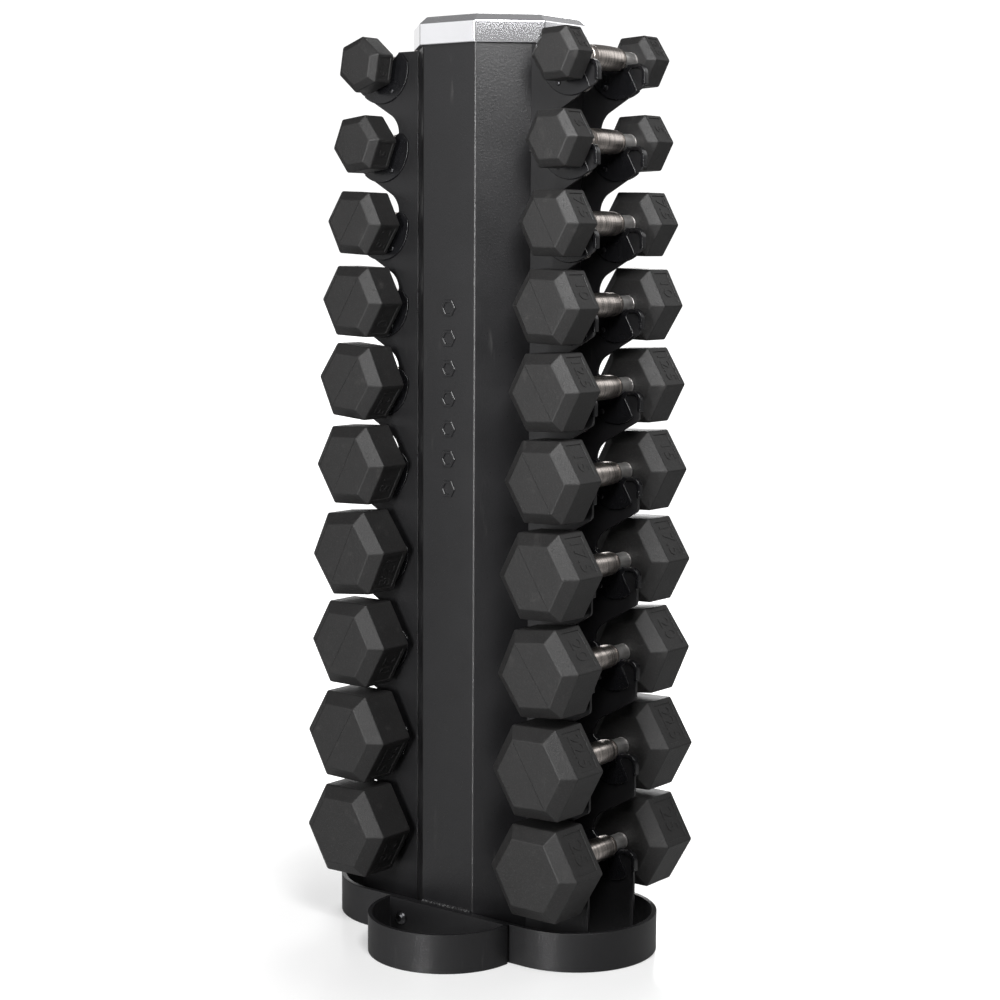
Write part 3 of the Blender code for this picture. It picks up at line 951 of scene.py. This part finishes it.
class RACK_OT_stage(bpy.types.Operator):
    """Set the pale floor, the soft lights and the camera."""

    bl_idname = "rack.stage"
    bl_label = "Stage"

    @staticmethod
    def floor(colour):
        """A pale floor that glows for the camera, darker near the rack as a painted shadow and whiter away
        from it, and lights the rack only a little.
        """
        begin()
        bpy.ops.mesh.primitive_circle_add(vertices=96, radius=30, fill_type="NGON", location=(0, 0, -0.0005))
        floor = just_added("floor")
        finish = Finish("floor_white", Roughness=0.22)
        spread = finish.node("ShaderNodeVectorMath", {"operation": "LENGTH"}, {0: finish.place}, "Value")
        # Painted shadow: the floor's glow to the camera is dimmer near the rack's foot and brightens away
        # from it. Every ray also sees a faint glow that lights the rack, and other rays see the floor darker,
        # so it throws back less light.
        painted_shadow_fade = spread.above(0.25, 0.9)
        seen = finish.node("ShaderNodeLightPath", output="Is Camera Ray")
        finish.link(Emission_Color=seen * (painted_shadow_fade * 0.65 + 0.33) + 0.04,
                    Base_Color=finish.mixed(seen, opaque(colour, 0.5), opaque(colour, 0.8)))
        finish.shader.inputs["Emission Strength"].default_value = 1
        floor.data.materials.append(finish.material)

    @staticmethod
    def softbox(name, azimuth, elevation, distance, size, power, target=(0, 0, 0.6)):
        """An area light, placed by its direction from the rack: azimuth 0 is in front, 90 to the right."""
        turn, lift = radians(azimuth), radians(elevation)
        away = Vector((sin(turn) * cos(lift), -cos(turn) * cos(lift), sin(lift)))
        where = Vector(target) + away * distance
        begin()
        aim = away.to_track_quat("Z", "Y").to_euler()
        bpy.ops.object.light_add(type="AREA", location=where, rotation=aim)
        lamp = bpy.context.object
        lamp.name = name
        lamp.data.shape = "RECTANGLE"
        lamp.data.size, lamp.data.size_y = size
        lamp.data.energy = power

    @staticmethod
    def world():
        """White all round to the camera; as a light, bright on the left and behind, and dim elsewhere."""
        studio = bpy.data.worlds.new("studio")
        nodes = Nodes(studio)
        facing = nodes.node("ShaderNodeTexCoord", output="Generated")

        def towards(direction):
            directions = {0: facing, 1: direction}
            return nodes.node("ShaderNodeVectorMath", {"operation": "DOT_PRODUCT"}, directions, "Value")

        left_wall = towards((-0.56, -0.83, 0)).above(0.82, 0.97) * 0.88
        back_wall = towards((0, 1, 0)).above(0.0, 0.7) * 0.3
        side_patch = towards((-0.788, 0.616, 0)).above(0.93, 0.99) * 0.6
        light = left_wall + back_wall + side_patch + 0.02
        seen = nodes.node("ShaderNodeLightPath", output="Is Camera Ray")
        strength = seen * 1.1 + (1 - seen) * light
        background = nodes.tree.nodes["Background"]
        nodes.tree.links.new(strength.socket, background.inputs["Strength"])
        background.inputs["Color"].default_value = (1, 1, 1, 1)
        bpy.context.scene.world = studio

    @staticmethod
    def camera():
        place = Vector((1.6684, -2.1358, 0.8891))
        azimuth, pitch, roll = radians(37.913), radians(6.9), radians(0.31)
        forward = Vector((-sin(azimuth) * cos(pitch), cos(azimuth) * cos(pitch), -sin(pitch)))
        right = Vector((cos(azimuth), sin(azimuth), 0))
        up = right.cross(forward)
        right_rolled = right * cos(roll) + up * sin(roll)
        up_rolled = up * cos(roll) - right * sin(roll)
        begin()
        bpy.ops.object.camera_add(location=place)
        camera = bpy.context.object
        camera.name = "camera"
        turn = Matrix((right_rolled, up_rolled, -forward)).transposed()
        camera.matrix_world = Matrix.Translation(place) @ turn.to_4x4()
        camera.data.sensor_width = 36
        camera.data.lens = 76.81
        bpy.context.scene.camera = camera

    def execute(self, context):
        self.floor(context.scene.rack_colours.floor)
        self.world()
        context.scene.view_settings.view_transform = "Standard"
        self.softbox("right_high_softbox", 46, 42, 1.6, (0.5, 0.9), 21, target=(0, 0, 0.65))
        self.softbox("right_top_softbox", 53, 21, 1.2, (0.3, 0.2), 3.3, target=(0, 0, 1.15))
        self.softbox("back_right_softbox", 152, 30, 2.4, (0.8, 1.2), 5)
        self.softbox("back_softbox", 208, 22, 3.0, (1.2, 1.6), 45)
        self.softbox("front_strip", 6, 6, 3.0, (0.1, 2.0), 75)
        self.camera()
        return {"FINISHED"}


class RACK_PT_panel(bpy.types.Panel):
    """The rack's sizes, colours and pieces."""

    bl_idname = "RACK_PT_panel"
    bl_label = "Dumbbell Rack"
    bl_space_type = "VIEW_3D"
    bl_region_type = "UI"
    bl_category = "Rack"

    def draw(self, context):
        for group in (context.scene.rack_sizes, context.scene.rack_colours):
            box = self.layout.box()
            for name in group.__annotations__:
                box.prop(group, name)
        for operator in OPERATORS:
            self.layout.operator(operator.bl_idname)


OPERATORS = (RACK_OT_post, RACK_OT_cap, RACK_OT_base, RACK_OT_bolts, RACK_OT_plates, RACK_OT_liners,
             RACK_OT_welds, RACK_OT_dumbbells, RACK_OT_stage)
CLASSES = (RackSizes, RackColours, *OPERATORS, RACK_PT_panel)


def register():
    for item in CLASSES:
        bpy.utils.register_class(item)
    bpy.types.Scene.rack_sizes = bpy.props.PointerProperty(type=RackSizes)
    bpy.types.Scene.rack_colours = bpy.props.PointerProperty(type=RackColours)


def unregister():
    del bpy.types.Scene.rack_colours
    del bpy.types.Scene.rack_sizes
    for item in reversed(CLASSES):
        bpy.utils.unregister_class(item)


def main():
    register()
    bpy.ops.rack.post()
    bpy.ops.rack.cap()
    bpy.ops.rack.base()
    bpy.ops.rack.bolts()
    bpy.ops.rack.plates()
    bpy.ops.rack.liners()
    bpy.ops.rack.welds()
    bpy.ops.rack.dumbbells()
    bpy.ops.rack.stage()


if __name__ == "__main__":
    main()
